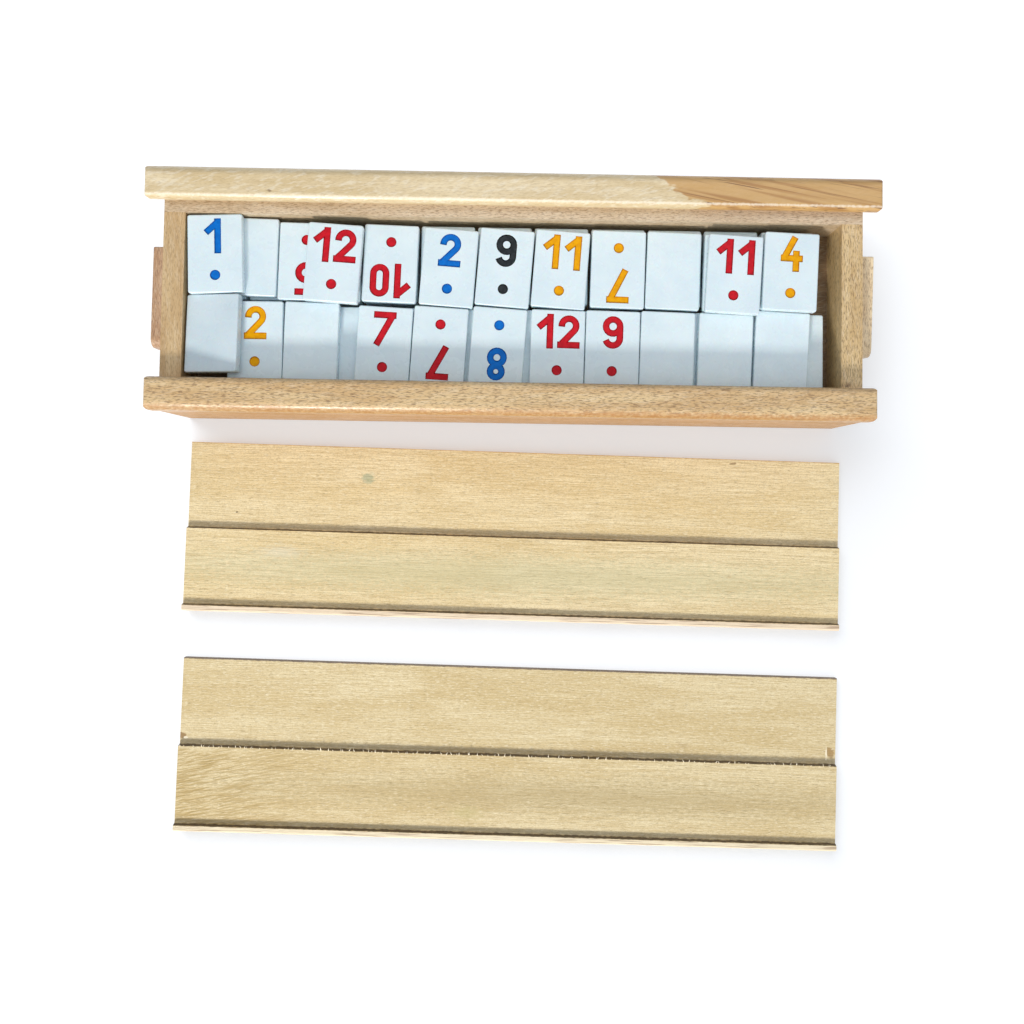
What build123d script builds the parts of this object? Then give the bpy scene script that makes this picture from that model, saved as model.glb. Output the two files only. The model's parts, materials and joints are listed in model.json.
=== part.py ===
"""Wooden rummy tile case with its two tile racks and its loose tiles, in millimetres.

The case is a tray with a rebated lid bay above and a second bay below, each as wide as a rack.
A rack slides into either bay from the end, and a wooden turn button on each end keeps both in.
Here both racks are out and lie in front of the open case.  +X runs along the case, +Y to its
back and +Z up.  The origin is on the table, at the middle of the whole set's footprint.
"""
from build123d import *
from math import cos, radians, sin
import os

# tiles
TILE_WIDTH = 26.0
TILE_LENGTH = 37.5
TILE_THICKNESS = 4.6
TILE_CORNER_RADIUS = 1.0
TILE_EDGE_CHAMFER = 0.4

# tray that holds them
TRAY_COLUMNS = 12
TRAY_ROWS = 2
TRAY_END_PLAY = 1.0
TRAY_SIDE_PLAY = 6.2
TRAY_DEPTH = 23.1

LOWER_COLUMNS = TRAY_COLUMNS - 1
FRONT_ROW_START = 20.1
FRONT_ROW_GAP = 0.1
BACK_ROW_START = 1.3
BACK_ROW_GAP = 1.5
LEANING_SIDE_TILT = 9.0
LEANING_FRONT_RISE = 3.0
LEANING_OVERLAP = 6.6
LEANING_PAST_CORNER = 2.6

# case boards
FRONT_BOARD = 13.7
BACK_BOARD = 20.5
END_BOARD = 10.05
FLOOR_PANEL = 4.0
FLOOR_HOUSING = 2.5
LOWER_BAY_HEIGHT = 17.3
BOARD_EDGE_RADIUS = 0.8

# rails on top of the long boards
FRONT_RAIL_PAST_END = 4.4
BACK_RAIL_PAST_END = 6.8
RAIL_WIDTH = 15.75
RAIL_RISE = 8.5
RAIL_OUTER_RADIUS = 4.5
RAIL_INNER_RADIUS = 2.8
RAIL_CORNER_RADIUS = 2.0
RAIL_END_RADIUS = 1.2

# racks
RACK_LENGTH = 332.5
RACK_UPPER_TREAD = 43.9
RACK_LOWER_TREAD = 38.7
RACK_LIP_WIDTH = 2.9
RACK_EDGE_THICKNESS = 3.4
RACK_STEP = 2.6
RACK_LIP = 2.4
RACK_STEP_SLOPE = 0.7
RACK_STEP_RADIUS = 0.3
RACK_LIP_RADIUS = 1.1
RACK_SLOT_PLAY = 0.6
RACK_SIDE_PLAY = 0.3
LOWER_SLOT_HEIGHT = 2.5
END_BOARD_OVER_RACK = 0.5

# turn buttons on the ends
BUTTON_LENGTH = 49.0
BUTTON_HEIGHT = 15.0
BUTTON_THICKNESS = 7.5
BUTTON_FRONT_RADIUS = 4.5
BUTTON_BACK_RADIUS = 0.8
BUTTON_EDGE_RADIUS = 0.6
LEFT_BUTTON_ACROSS = -1.4
RIGHT_BUTTON_ACROSS = 0.2
BUTTON_FACE_PLAY = 0.3
BUTTON_BORE_PLAY = 0.05
LEFT_BUTTON_TURN = -0.5
RIGHT_BUTTON_TURN = 4.0
WASHER_DIAMETER = 10.0
WASHER_THICKNESS = 0.8
WASHER_BORE_PLAY = 0.1
SCREW_DIAMETER = 3.5
SCREW_GRIP = 7.5
SCREW_HEAD_DIAMETER = 7.0
SCREW_HEAD_HEIGHT = 2.1
SCREW_HEAD_PLAY = 0.6
SCREW_SLOT_WIDTH = 1.0
SCREW_SLOT_DEPTH = 0.9

# how the set lies on the table
RACK_GAP = 15.05
RACK_PITCH = 109.9
RACK_1_SHIFT = 1.9
RACK_1_TURN = -0.96
RACK_2_SHIFT = 0.9
RACK_2_TURN = -1.04

# worked out from the sizes above
TRAY_LENGTH = TRAY_COLUMNS * TILE_WIDTH + TRAY_END_PLAY
TRAY_WIDTH = TRAY_ROWS * TILE_LENGTH + TRAY_SIDE_PLAY
CASE_LENGTH = TRAY_LENGTH + 2 * END_BOARD
CASE_WIDTH = FRONT_BOARD + TRAY_WIDTH + BACK_BOARD
FLOOR_TOP = LOWER_BAY_HEIGHT + FLOOR_PANEL
RIM = FLOOR_TOP + TRAY_DEPTH
CASE_HEIGHT = RIM + RAIL_RISE
RACK_WIDTH = RACK_UPPER_TREAD + RACK_LOWER_TREAD + RACK_LIP_WIDTH
RACK_HEIGHT = RACK_EDGE_THICKNESS + RACK_STEP + RACK_LIP
SLOT_THIN = RACK_EDGE_THICKNESS + RACK_SLOT_PLAY
SLOT_THICK = RACK_HEIGHT + RACK_SLOT_PLAY
BAY_BETWEEN_RAILS = CASE_WIDTH - 2 * RAIL_WIDTH
RAIL_SLOT_DEPTH = RACK_WIDTH + 2 * RACK_SIDE_PLAY - BAY_BETWEEN_RAILS
LOWER_SLOT_DEPTH = (RACK_WIDTH + 2 * RACK_SIDE_PLAY - TRAY_WIDTH) / 2
END_BOARD_BOTTOM = LOWER_SLOT_HEIGHT + RACK_HEIGHT + END_BOARD_OVER_RACK
BUTTON_PIVOT_Z = CASE_HEIGHT / 2
BUTTON_ACROSS = {-1: LEFT_BUTTON_ACROSS, 1: RIGHT_BUTTON_ACROSS}
HEAD_SEAT = SCREW_HEAD_HEIGHT + 2 * BUTTON_FACE_PLAY
BUTTON_OFF_BOARD = WASHER_THICKNESS + BUTTON_FACE_PLAY


def rack_reach(turn):
    """Half of the depth that a rack covers when it lies turned by this many degrees."""
    a = radians(abs(turn))
    return RACK_WIDTH / 2 * cos(a) + RACK_LENGTH / 2 * sin(a)


RACK_1_DROP = CASE_WIDTH / 2 + RACK_GAP + RACK_WIDTH / 2
SET_DEPTH = CASE_WIDTH / 2 + RACK_1_DROP + RACK_PITCH + rack_reach(RACK_2_TURN)
CASE_Y = (SET_DEPTH - CASE_WIDTH) / 2
RACK_1_Y = CASE_Y - RACK_1_DROP
RACK_2_Y = RACK_1_Y - RACK_PITCH
CASE_FRONT = CASE_Y - CASE_WIDTH / 2
CASE_BACK = CASE_Y + CASE_WIDTH / 2
TRAY_FRONT = CASE_FRONT + FRONT_BOARD
TRAY_BACK = CASE_BACK - BACK_BOARD

LOW = (Align.MIN, Align.MIN, Align.MIN)
UPRIGHT = (Align.CENTER, Align.CENTER, Align.MIN)


def block(x0, x1, y0, y1, z0, z1):
    """A plain block between two corners."""
    return Pos(x0, y0, z0) * Box(x1 - x0, y1 - y0, z1 - z0, align=LOW)


def outer_corners(board, y_face):
    """The two upright edges at the ends of a long board's outer face."""
    return [e for e in board.edges().filter_by(Axis.Z) if abs(e.center().Y - y_face) < 0.01]


# ---------------------------------------------------------------- case

def side_board(y_out, y_in, lower_slot):
    """A long board, with a housing for the floor and a slot for the lower rack's edge."""
    inward = 1 if y_in > y_out else -1
    half = CASE_LENGTH / 2
    board = block(-half, half, min(y_out, y_in), max(y_out, y_in), 0, RIM)
    board = fillet(outer_corners(board, y_out), BOARD_EDGE_RADIUS)
    housing_y = y_in - inward * FLOOR_HOUSING
    slot_y = y_in - inward * LOWER_SLOT_DEPTH
    housing_end = TRAY_LENGTH / 2 + FLOOR_HOUSING
    board -= block(-housing_end, housing_end, min(y_in, housing_y), max(y_in, housing_y),
                   LOWER_BAY_HEIGHT, FLOOR_TOP)
    board -= block(-half, half, min(y_in, slot_y), max(y_in, slot_y),
                   LOWER_SLOT_HEIGHT, LOWER_SLOT_HEIGHT + lower_slot)
    return board


def end_board(side):
    """A short board between the long ones, cut off above the lower rack's way in."""
    inner, outer = TRAY_LENGTH / 2, CASE_LENGTH / 2
    board = block(inner, outer, TRAY_FRONT, TRAY_BACK, END_BOARD_BOTTOM, RIM)
    board -= block(inner, inner + FLOOR_HOUSING, TRAY_FRONT, TRAY_BACK, LOWER_BAY_HEIGHT, FLOOR_TOP)
    pilot = Rot(0, 90, 0) * Cylinder(SCREW_DIAMETER / 2, SCREW_GRIP, align=UPRIGHT)
    board -= Pos(outer - SCREW_GRIP, CASE_Y + BUTTON_ACROSS[side], BUTTON_PIVOT_Z) * pilot
    return board if side > 0 else mirror(board, about=Plane.YZ)


def floor_panel():
    """The tray's floor, let into all four boards."""
    half = TRAY_LENGTH / 2 + FLOOR_HOUSING
    return block(-half, half, TRAY_FRONT - FLOOR_HOUSING, TRAY_BACK + FLOOR_HOUSING,
                 LOWER_BAY_HEIGHT, FLOOR_TOP)


def rail_section(slot):
    """The rail's moulded section: x is 0 at the outer face, y is 0 on top of the board."""
    w, h = RAIL_WIDTH, RAIL_RISE
    r_out, r_in = RAIL_OUTER_RADIUS, RAIL_INNER_RADIUS
    top = Polyline((w, SLOT_THIN if slot else 0), (w, h - r_in))
    nose = RadiusArc((w, h - r_in), (w - r_in, h), -r_in)
    crown = Line((w - r_in, h), (r_out, h))
    shoulder = RadiusArc((r_out, h), (0, h - r_out), -r_out)
    lines = [top, nose, crown, shoulder, Line((0, h - r_out), (0, 0))]
    if slot:
        deep = w - RAIL_SLOT_DEPTH
        lines.append(Polyline((0, 0), (deep, 0), (deep, SLOT_THIN), (w, SLOT_THIN)))
    else:
        lines.append(Line((0, 0), (w, 0)))
    return make_face(Curve() + lines)


def rail(y_out, inward, past_end, slot):
    """A rail: the moulded section run along the case, its ends rounded in plan and on top."""
    length = CASE_LENGTH + 2 * past_end
    half = length / 2
    plane = Plane(origin=(-half, y_out, RIM), x_dir=(0, inward, 0), z_dir=(inward, 0, 0))
    bar = extrude(plane * rail_section(slot), amount=inward * length)
    middle = Pos(0, y_out + inward * RAIL_WIDTH / 2, RIM)
    plan = extrude(RectangleRounded(length, RAIL_WIDTH, RAIL_CORNER_RADIUS), amount=RAIL_RISE)
    front = Plane.XZ * RectangleRounded(length, 2 * RAIL_RISE, RAIL_END_RADIUS)
    front = extrude(front, amount=RAIL_WIDTH / 2, both=True)
    return bar & middle * plan & middle * front


# ---------------------------------------------------------------- turn buttons

def turn_button():
    """A flat wooden button, its front end rounder than its back, with its inner face at x = 0."""
    outline = Rectangle(BUTTON_LENGTH, BUTTON_HEIGHT)
    outline = fillet(outline.vertices().group_by(Axis.X)[0], BUTTON_FRONT_RADIUS)
    outline = fillet(outline.vertices().group_by(Axis.X)[-1], BUTTON_BACK_RADIUS)
    plate = extrude(Plane.YZ * outline, amount=BUTTON_THICKNESS)
    face = plate.faces().sort_by(Axis.X)[-1]
    plate = fillet(face.edges(), BUTTON_EDGE_RADIUS)
    bore = Cylinder(SCREW_DIAMETER / 2 + BUTTON_BORE_PLAY, BUTTON_THICKNESS, align=UPRIGHT)
    seat = Cylinder(SCREW_HEAD_DIAMETER / 2 + SCREW_HEAD_PLAY, HEAD_SEAT, align=UPRIGHT)
    return plate - Rot(0, 90, 0) * (bore + Pos(0, 0, BUTTON_THICKNESS - HEAD_SEAT) * seat)


def washer():
    """The steel washer between a button and its end board, on x = 0."""
    bore = SCREW_DIAMETER / 2 + WASHER_BORE_PLAY
    ring = Circle(WASHER_DIAMETER / 2) - Circle(bore)
    return extrude(Plane.YZ * ring, amount=WASHER_THICKNESS)


def button_screw():
    """A slotted cheese-head screw along X, board face at x = 0, its head let into the button."""
    head_at = BUTTON_OFF_BOARD + BUTTON_THICKNESS - SCREW_HEAD_HEIGHT - BUTTON_FACE_PLAY
    shank = Cylinder(SCREW_DIAMETER / 2, SCREW_GRIP + head_at, align=UPRIGHT)
    head = Cylinder(SCREW_HEAD_DIAMETER / 2, SCREW_HEAD_HEIGHT, align=UPRIGHT)
    head = chamfer(head.edges().group_by(Axis.Z)[-1], SCREW_HEAD_HEIGHT / 6)
    head -= Pos(0, 0, SCREW_HEAD_HEIGHT - SCREW_SLOT_DEPTH) * Box(
        SCREW_HEAD_DIAMETER, SCREW_SLOT_WIDTH, SCREW_SLOT_DEPTH, align=UPRIGHT)
    screw = Pos(0, 0, -SCREW_GRIP) * shank + Pos(0, 0, head_at) * head
    return Rot(0, 90, 0) * screw


def at_end(piece, side, out=0.0, turn=0.0):
    """Put a piece made on x = 0 at the pivot of one end, standing out from the board."""
    placed = Pos(CASE_LENGTH / 2 + out, 0, 0) * piece
    if side < 0:
        placed = mirror(placed, about=Plane.YZ)
    return Pos(0, CASE_Y + BUTTON_ACROSS[side], BUTTON_PIVOT_Z) * Rot(turn, 0, 0) * placed


# ---------------------------------------------------------------- racks

def rack_section():
    """A rack's section, its steps sloping a little: x runs from the lip to the thin back edge."""
    lip, low = RACK_LIP_WIDTH, RACK_LIP_WIDTH + RACK_LOWER_TREAD
    z_up = RACK_EDGE_THICKNESS
    z_low = z_up + RACK_STEP
    outline = Polyline((0, 0), (RACK_WIDTH, 0), (RACK_WIDTH, z_up), (low + RACK_STEP_SLOPE, z_up),
                       (low, z_low), (lip + RACK_STEP_SLOPE, z_low), (lip, RACK_HEIGHT),
                       (0, RACK_HEIGHT), close=True)
    return make_face(outline)


def rack(shift, y, turn):
    """A rack: two treads that step up towards the lip along the front edge."""
    plane = Plane(origin=(-RACK_LENGTH / 2, -RACK_WIDTH / 2, 0), x_dir=(0, 1, 0), z_dir=(1, 0, 0))
    board = extrude(plane * rack_section(), amount=RACK_LENGTH)
    low_y = -RACK_WIDTH / 2 + RACK_LIP_WIDTH + RACK_LOWER_TREAD
    low_z = RACK_EDGE_THICKNESS + RACK_STEP
    step = [e for e in board.edges().filter_by(Axis.X)
            if abs(e.center().Y - low_y) < 0.01 and abs(e.center().Z - low_z) < 0.01]
    nose = [e for e in board.edges().filter_by(Axis.X)
            if abs(e.center().Y + RACK_WIDTH / 2) < 0.01 and e.center().Z > RACK_HEIGHT - 0.01]
    board = fillet(step, RACK_STEP_RADIUS)
    board = fillet(nose, RACK_LIP_RADIUS)
    return Pos(shift, y, 0) * Rot(0, 0, turn) * board


# ---------------------------------------------------------------- tiles

def tile():
    """One tile, lying on z = 0 about the origin, with rounded corners and eased face edges."""
    outline = RectangleRounded(TILE_WIDTH, TILE_LENGTH, TILE_CORNER_RADIUS)
    slab = extrude(outline, amount=TILE_THICKNESS)
    face = slab.faces().sort_by(Axis.Z)[-1]
    return chamfer(face.edges(), TILE_EDGE_CHAMFER)


def level(layer):
    """The height on which the tiles of a layer lie; layer 1 is on the tray's floor."""
    return FLOOR_TOP + (layer - 1) * TILE_THICKNESS


def column_x(column):
    """The middle of a column of tiles, counted from 0 at the left end of the tray."""
    pitch = TRAY_LENGTH / TRAY_COLUMNS
    return (column + 0.5) * pitch - TRAY_LENGTH / 2


def back_row_y():
    """The middle of the back row, its tiles pushed near the back board."""
    return TRAY_BACK - TRAY_SIDE_PLAY / 3 - TILE_LENGTH / 2


def front_row_y():
    """The middle of the front row, its tiles pushed near the front board."""
    return TRAY_FRONT + TRAY_SIDE_PLAY / 4 + TILE_LENGTH / 2


def lower_row_x(row, column):
    """Where a column of a lower layer lies, each row with its own start and spacing."""
    start, gap = LOWER_ROWS[row]
    return start + TILE_WIDTH / 2 - TRAY_LENGTH / 2 + column * (TILE_WIDTH + gap)


def covered_layer(layer, left_out=()):
    """A lower layer, which leaves the front row open at the left and both rows at the right."""
    plain = Box(TILE_WIDTH, TILE_LENGTH, TILE_THICKNESS, align=UPRIGHT)
    places = [(row, column) for row in ROW_Y for column in range(LOWER_COLUMNS)]
    return [Pos(lower_row_x(row, column), ROW_Y[row], level(layer)) * plain
            for row, column in places if (row, column) not in left_out]


def leaning_tile():
    """The tile tipped into the open place, lying across the back corner of its neighbour."""
    row, layer, column, shift, push, turn = UPPER_TILES["tile_yellow_2"]
    corner_x = column_x(column) + shift - TILE_WIDTH / 2 + TILE_EDGE_CHAMFER
    corner_y = ROW_Y[row] + push + TILE_LENGTH / 2 - TILE_EDGE_CHAMFER
    corner = Pos(corner_x, corner_y, level(layer) + TILE_THICKNESS)
    across = Pos(LEANING_OVERLAP - TILE_WIDTH / 2, LEANING_PAST_CORNER - TILE_LENGTH / 2, 0)
    return corner * Rot(-LEANING_FRONT_RISE, -LEANING_SIDE_TILT, 0) * across * tile()


FRONT_ROW = 0
BACK_ROW = 1
ROW_Y = {FRONT_ROW: front_row_y(), BACK_ROW: back_row_y()}
LOWER_ROWS = {FRONT_ROW: (FRONT_ROW_START, FRONT_ROW_GAP), BACK_ROW: (BACK_ROW_START, BACK_ROW_GAP)}
TOP_LAYER = 5
NEXT_LAYER = 4
YELLOW_UNDER = (BACK_ROW, 3)

# the tiles on top: row, layer, column, shift along X, push along Y, turn in degrees
UPPER_TILES = {
    "tile_blue_1": (BACK_ROW, TOP_LAYER, 0, 1.4, 1.4, 2.2),
    "tile_blank_back_left": (BACK_ROW, NEXT_LAYER, 1, -9.2, 1.2, -1.2),
    "tile_red_5": (BACK_ROW, NEXT_LAYER, 2, -8.6, -0.6, -0.9),
    "tile_red_12_back": (BACK_ROW, TOP_LAYER, 2, 5.3, -2.0, -3.5),
    "tile_red_10": (BACK_ROW, NEXT_LAYER, 3, 5.8, -0.9, -1.6),
    "tile_blue_2": (BACK_ROW, NEXT_LAYER, 4, 7.8, -2.3, -3.8),
    "tile_black_9": (BACK_ROW, NEXT_LAYER, 5, 8.6, -2.0, -4.1),
    "tile_yellow_11": (BACK_ROW, NEXT_LAYER, 6, 9.4, -2.3, -3.8),
    "tile_yellow_7": (BACK_ROW, NEXT_LAYER, 7, 11.0, -1.8, -1.2),
    "tile_blank_back_right": (BACK_ROW, NEXT_LAYER, 8, 11.6, -2.0, -1.6),
    "tile_under_red_11": (BACK_ROW, NEXT_LAYER, 9, 13.2, -2.9, -1.5),
    "tile_red_11": (BACK_ROW, TOP_LAYER, 9, 14.0, -4.0, -3.0),
    "tile_under_yellow_4": (BACK_ROW, NEXT_LAYER, 10, 14.4, -1.6, -1.5),
    "tile_yellow_4": (BACK_ROW, TOP_LAYER, 10, 15.0, -2.4, -2.2),
    "tile_yellow_2": (FRONT_ROW, NEXT_LAYER, 1, -5.8, 1.2, 0.2),
    "tile_blank_front_left": (FRONT_ROW, NEXT_LAYER, 2, -5.3, 1.1, -1.0),
    "tile_red_7": (FRONT_ROW, NEXT_LAYER, 3, 3.4, -0.5, -2.7),
    "tile_red_7_turned": (FRONT_ROW, NEXT_LAYER, 4, 3.8, -0.2, -3.2),
    "tile_blue_8": (FRONT_ROW, NEXT_LAYER, 5, 5.8, -0.1, -3.7),
    "tile_red_12_front": (FRONT_ROW, NEXT_LAYER, 6, 8.4, -0.6, -1.1),
    "tile_red_9": (FRONT_ROW, NEXT_LAYER, 7, 8.7, -0.6, -1.1),
    "tile_blank_front_a": (FRONT_ROW, NEXT_LAYER, 8, 9.0, -0.6, -1.5),
    "tile_blank_front_b": (FRONT_ROW, NEXT_LAYER, 9, 10.8, -1.0, -1.8),
    "tile_blank_front_c": (FRONT_ROW, NEXT_LAYER, 10, 11.9, 0.4, -2.5),
}


def upper_tile(name):
    """One of the tiles on top, on its layer and turned as it lies."""
    row, layer, column, shift, push, turn = UPPER_TILES[name]
    place = Pos(column_x(column) + shift, ROW_Y[row] + push, level(layer))
    return place * Rot(0, 0, turn) * tile()


def lower_tile(row, column, layer):
    """One tile of a covered layer, made like those on top."""
    return Pos(lower_row_x(row, column), ROW_Y[row], level(layer)) * tile()


# ---------------------------------------------------------------- all the pieces

PIECES = {
    "front_side_board": side_board(CASE_FRONT, TRAY_FRONT, SLOT_THICK),
    "back_side_board": side_board(CASE_BACK, TRAY_BACK, SLOT_THIN),
    "left_end_board": end_board(-1),
    "right_end_board": end_board(1),
    "floor_panel": floor_panel(),
    "front_rail": rail(CASE_FRONT, 1, FRONT_RAIL_PAST_END, slot=False),
    "back_rail": rail(CASE_BACK, -1, BACK_RAIL_PAST_END, slot=True),
    "left_turn_button": at_end(turn_button(), -1, BUTTON_OFF_BOARD, LEFT_BUTTON_TURN),
    "right_turn_button": at_end(turn_button(), 1, BUTTON_OFF_BOARD, RIGHT_BUTTON_TURN),
    "button_washers": Compound([at_end(washer(), -1), at_end(washer(), 1)]),
    "button_screws": Compound([at_end(button_screw(), -1), at_end(button_screw(), 1)]),
    "rack_1": rack(RACK_1_SHIFT, RACK_1_Y, RACK_1_TURN),
    "rack_2": rack(RACK_2_SHIFT, RACK_2_Y, RACK_2_TURN),
    "tiles_layer_1": Compound(covered_layer(1)),
    "tiles_layer_2": Compound(covered_layer(2)),
    "tiles_layer_3": Compound(covered_layer(3, left_out=[YELLOW_UNDER])),
    "tile_yellow_under": lower_tile(*YELLOW_UNDER, 3),
    "tile_blank_leaning": leaning_tile(),
}
PIECES.update({name: upper_tile(name) for name in UPPER_TILES})

os.makedirs("parts", exist_ok=True)
for name, piece in PIECES.items():
    export_step(piece, f"parts/{name}.step")
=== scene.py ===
"""Looks of the wooden tile-game case, its number tiles and its two racks, in metres."""

import json
import math

import bmesh
import bpy
from mathutils import Matrix, Vector

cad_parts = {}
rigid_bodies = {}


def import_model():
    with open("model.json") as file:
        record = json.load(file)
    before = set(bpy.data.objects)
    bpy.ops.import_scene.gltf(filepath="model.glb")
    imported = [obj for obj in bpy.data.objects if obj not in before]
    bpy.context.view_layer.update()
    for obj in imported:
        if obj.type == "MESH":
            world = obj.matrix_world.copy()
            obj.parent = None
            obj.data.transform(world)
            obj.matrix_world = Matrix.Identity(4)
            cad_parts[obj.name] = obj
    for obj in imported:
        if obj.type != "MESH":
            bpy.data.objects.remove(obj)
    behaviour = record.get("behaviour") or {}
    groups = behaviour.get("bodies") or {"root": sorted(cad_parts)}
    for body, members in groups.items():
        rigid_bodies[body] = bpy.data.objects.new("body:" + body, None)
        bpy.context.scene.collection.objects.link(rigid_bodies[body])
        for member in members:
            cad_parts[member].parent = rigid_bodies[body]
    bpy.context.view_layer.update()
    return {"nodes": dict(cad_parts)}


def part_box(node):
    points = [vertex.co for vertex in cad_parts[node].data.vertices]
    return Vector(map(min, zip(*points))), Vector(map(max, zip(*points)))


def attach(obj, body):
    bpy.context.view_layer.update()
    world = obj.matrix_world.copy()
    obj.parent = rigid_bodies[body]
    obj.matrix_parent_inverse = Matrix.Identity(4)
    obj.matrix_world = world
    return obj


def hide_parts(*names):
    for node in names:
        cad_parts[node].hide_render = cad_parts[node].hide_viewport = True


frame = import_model()
MM = 0.001
WHITE = (1, 1, 1, 1)
# a Mix node's colour sockets by number, because its sockets share their names
BY, UNDER, OVER, MIXED = 0, 6, 7, 2


# ---------------------------------------------------------------- small helpers

def srgb(code):
    """An sRGB hex colour as the linear colour that a shader takes."""
    parts = [int(code[i:i + 2], 16) / 255 for i in (0, 2, 4)]
    lin = [c / 12.92 if c <= 0.04045 else ((c + 0.055) / 1.055) ** 2.4 for c in parts]
    return (*lin, 1.0)


def add(tree, kind, inputs=None, out=None, **settings):
    """One node with its settings and its inputs, each a value or a link; returns it or one output."""
    node = tree.nodes.new(kind)
    for name, value in settings.items():
        setattr(node, name, value)
    for name, value in (inputs or {}).items():
        if isinstance(value, bpy.types.NodeSocket):
            tree.links.new(value, node.inputs[name])
        else:
            node.inputs[name].default_value = value
    return node if out is None else node.outputs[out]


def new_material(name):
    """An empty node material, and its tree."""
    mat = bpy.data.materials.new(name)
    mat.use_nodes = True
    mat.node_tree.nodes.clear()
    return mat, mat.node_tree


# ---------------------------------------------------------------- wood

def streaks(tree, coords, length, width, faint, full, depth=1.0, slant=0.0, place=(0, 0, 0), twist=0.0):
    """Streaks of `length` by `width` mm: how much of a colour they lay over a surface, up to `depth`.

    `faint` and `full` are the noise values at which a streak starts and is full.
    """
    fitted = add(tree, "ShaderNodeMapping", {
        "Vector": coords, "Location": place, "Rotation": (0, 0, math.radians(slant)),
        "Scale": (length * MM, width * MM, width * MM)}, "Vector", vector_type="TEXTURE")
    noise = add(tree, "ShaderNodeTexNoise", {
        "Vector": fitted, "Scale": 1.0, "Detail": 2.0, "Roughness": 0.55, "Distortion": twist}, "Fac")
    return add(tree, "ShaderNodeMapRange", {
        "Value": noise, "From Min": faint, "From Max": full, "To Max": depth}, "Result",
        interpolation_type="SMOOTHSTEP")


def beech(name, pale, deep, pore, along="X", place=(0, 0, 0), pores=0.6, mottle=0.2, lacquer=0.2,
          shine=0.5, heart=False):
    """Steamed beech, planed and thinly lacquered: an even warm tone with dense short dark dashes.

    Real pores are about 1.5 mm long and rays 3 to 4 mm, both as fine as a hair. They are drawn somewhat
    longer and 0.4 to 0.5 mm wide, so that they show. `place` gives each board its own part of the pattern.
    """
    mat, tree = new_material(name)
    where = add(tree, "ShaderNodeTexCoord", out="Object")
    turned = {"X": (0, 0, 0), "Y": (0, 0, math.pi / 2)}[along]
    coords = add(tree, "ShaderNodeMapping", {"Vector": where, "Location": place, "Rotation": turned},
                 "Vector", vector_type="TEXTURE")
    drift = streaks(tree, coords, 60, 6, 0.34, 0.66, twist=0.4)
    growth = streaks(tree, coords, 90, 1.4, 0.6, 0.36, 0.4)
    figure = streaks(tree, coords, 5.0, 1.7, 0.55, 0.38, mottle, slant=18)
    sheen = streaks(tree, coords, 5.5, 1.5, 0.5, 0.68, mottle, slant=18, place=(0.02, 0, 0))
    light = streaks(tree, coords, 6.0, 0.45, 0.5, 0.68, 0.5 * pores, place=(0.05, 0, 0))
    pore_marks = streaks(tree, coords, 2.3, 0.4, 0.49, 0.36, pores)
    ray_marks = streaks(tree, coords, 4.2, 0.5, 0.4, 0.32, pores, place=(0.011, 0.003, 0))
    base = add(tree, "ShaderNodeMix", {BY: drift, UNDER: srgb(deep), OVER: srgb(pale)}, MIXED,
               data_type="RGBA")
    for mask, colour in ((growth, deep), (figure, deep), (sheen, "FBF3E0"), (light, "F6E4C4"),
                         (pore_marks, pore), (ray_marks, pore)):
        base = add(tree, "ShaderNodeMix", {BY: mask, UNDER: base, OVER: srgb(colour)}, MIXED,
                   data_type="RGBA")
    if heart:
        base = heartwood(tree, base, where)
    ragged = streaks(tree, where, 1.6, 1.6, 0.2, 0.8, 0.6)
    # the case's marks: real knots, and the rails' strips of painted shade and painted highlight
    base = marked(tree, base, where, ragged, KNOT_EDGE, "LINEAR",
                  [(*mark, KNOT_SOFT) for mark in RAIL_SHADE_AND_HIGHLIGHT_STRIPS + KNOTS])
    rough = add(tree, "ShaderNodeMapRange", {"Value": drift, "To Min": 0.46, "To Max": 0.36}, "Result")
    hollow = add(tree, "ShaderNodeMath", {0: growth, 1: pore_marks}, 0, operation="ADD")
    bump = add(tree, "ShaderNodeBump", {"Height": hollow, "Strength": 0.5, "Distance": 0.12 * MM}, "Normal",
               invert=True)
    wood = add(tree, "ShaderNodeBsdfPrincipled", {
        "Base Color": base, "Roughness": rough, "Normal": bump, "IOR": 1.5, "Specular IOR Level": shine,
        "Coat Weight": lacquer, "Coat Roughness": 0.26}, "BSDF")
    add(tree, "ShaderNodeOutputMaterial", {"Surface": wood})
    return mat


# place from the set's origin and half sizes in mm, colour and strength: along the two rails, the front rail's
# front shoulder redder and painted darker as shade, painted shade on both back edges, a painted highlight on
# the back rail's nose ...
RAIL_SHADE_AND_HIGHLIGHT_STRIPS = [((0, 50.3, 48.6), (700, 2.6, 7.5), "B07838", 0.85),
               ((0, 64.9, 51.6), (700, 1.2, 3.0), "6E4E30", 0.55),
               ((0, 164.5, 51.6), (700, 1.2, 3.0), "7E6040", 0.6),
               ((0, 150.3, 52.6), (700, 0.8, 3.0), "FFF8E6", 0.55)]
# ... and knots in the back rail and on the right end
KNOTS = [((-114.6, 152.4, 52.0), (1.6, 1.1, 4.0), "6E4A28", 0.8),
         ((159.9, 66.8, 44.4), (3.0, 1.7, 4.0), "7A5A36", 0.6),
         ((159.2, 66.2, 44.4), (1.3, 0.9, 3.0), "5A3B20", 0.7)]
# a mark starts this many half sizes from its middle, less what its ragged edge takes away; the case's marks
# reach their full strength KNOT_SOFT half sizes further in
KNOT_EDGE, KNOT_SOFT, RACK_MARK_EDGE = 1.2, 0.7, 1.3


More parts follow.
